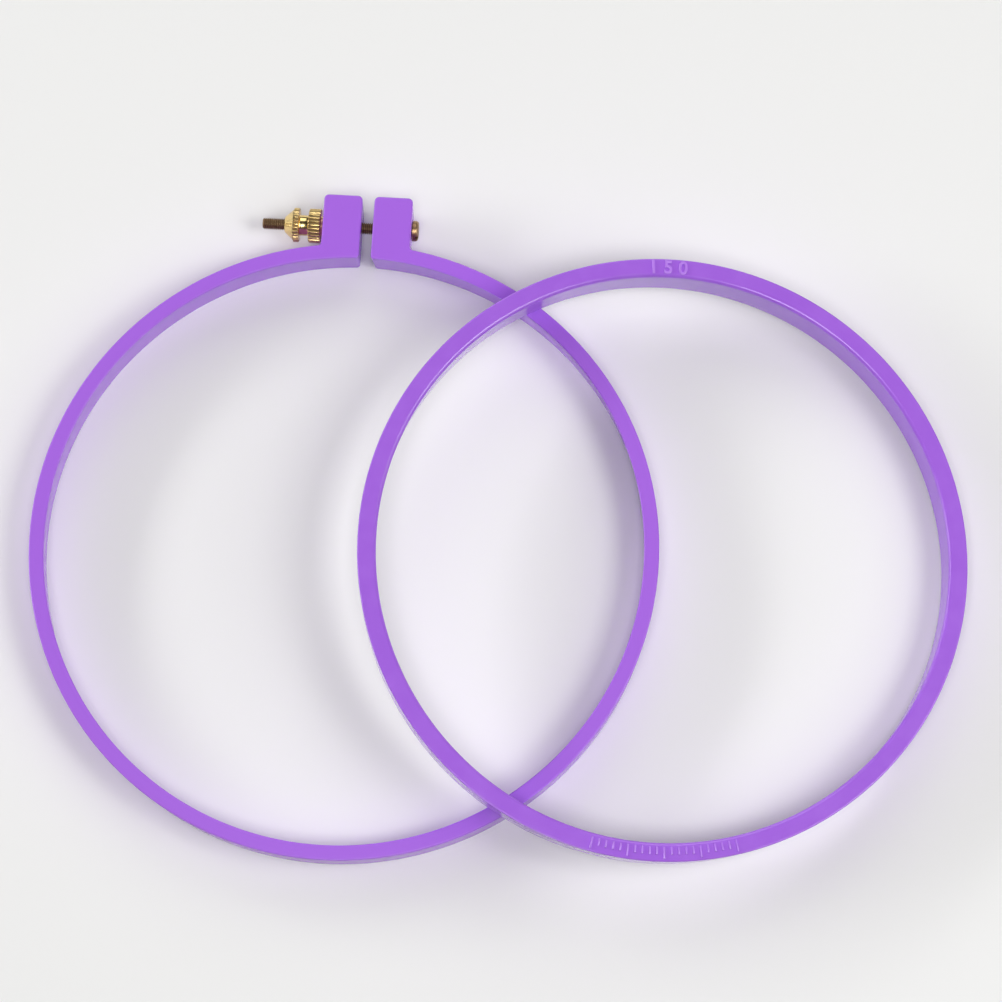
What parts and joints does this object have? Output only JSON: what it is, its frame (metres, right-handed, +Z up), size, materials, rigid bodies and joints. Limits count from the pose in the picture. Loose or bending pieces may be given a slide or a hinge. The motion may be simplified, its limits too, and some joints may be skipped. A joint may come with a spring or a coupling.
{
  "type": "embroidery hoop",
  "caption": "Round plastic embroidery hoop: split outer ring with clamp lugs, brass screw and knurled thumb nut, and a separate inner ring laid over it.",
  "frame": {"origin": "centre of the outer ring, on the surface the hoop lies on", "axes": "+Z up, +Y from the ring's centre to the gap between the clamp lugs, +X along the screw from the nut to the head, towards the inner ring"},
  "size_m": [0.2314, 0.1684, 0.0293],
  "materials": {
    "ring_plastic": "violet moulded plastic, satin",
    "screw_brass": "dull brass, rolled thread",
    "nut_brass": "bright turned and knurled brass"
  },
  "bodies": {
    "outer_ring": {"outer_ring_left": "ring_plastic"},
    "outer_ring_flex": {"outer_ring_right": "ring_plastic"},
    "screw": {"clamp_screw": "screw_brass"},
    "nut": {"thumb_nut": "nut_brass"},
    "inner_ring": {"inner_ring": "ring_plastic"}
  },
  "joints": [
    {"name": "ring_closing", "type": "hinge", "parent": "outer_ring", "child": "outer_ring_flex", "pos_m": [0, -0.076, 0.006], "axis": [0, 0, 1], "range_deg": [-1.79, 0.97]},
    {"name": "nut_turn", "type": "hinge", "parent": "outer_ring", "child": "nut", "pos_m": [0, 0.0837, 0.006], "axis": [1, 0, 0], "range_deg": [-3605, 1949]},
    {"name": "screw_draw", "type": "slide", "parent": "outer_ring", "child": "screw", "axis": [-1, 0, 0], "range_m": [-0.00505, 0.00275]},
    {"name": "inner_ring_lift", "type": "slide", "parent": "outer_ring", "child": "inner_ring", "axis": [0, 0, 1], "range_m": [0, 0.06]}
  ],
  "couplings": [
    {"joint": "nut_turn", "follows": "ring_closing", "ratio": 2006.8},
    {"joint": "screw_draw", "follows": "ring_closing", "m_per_rad": 0.1597}
  ]
}
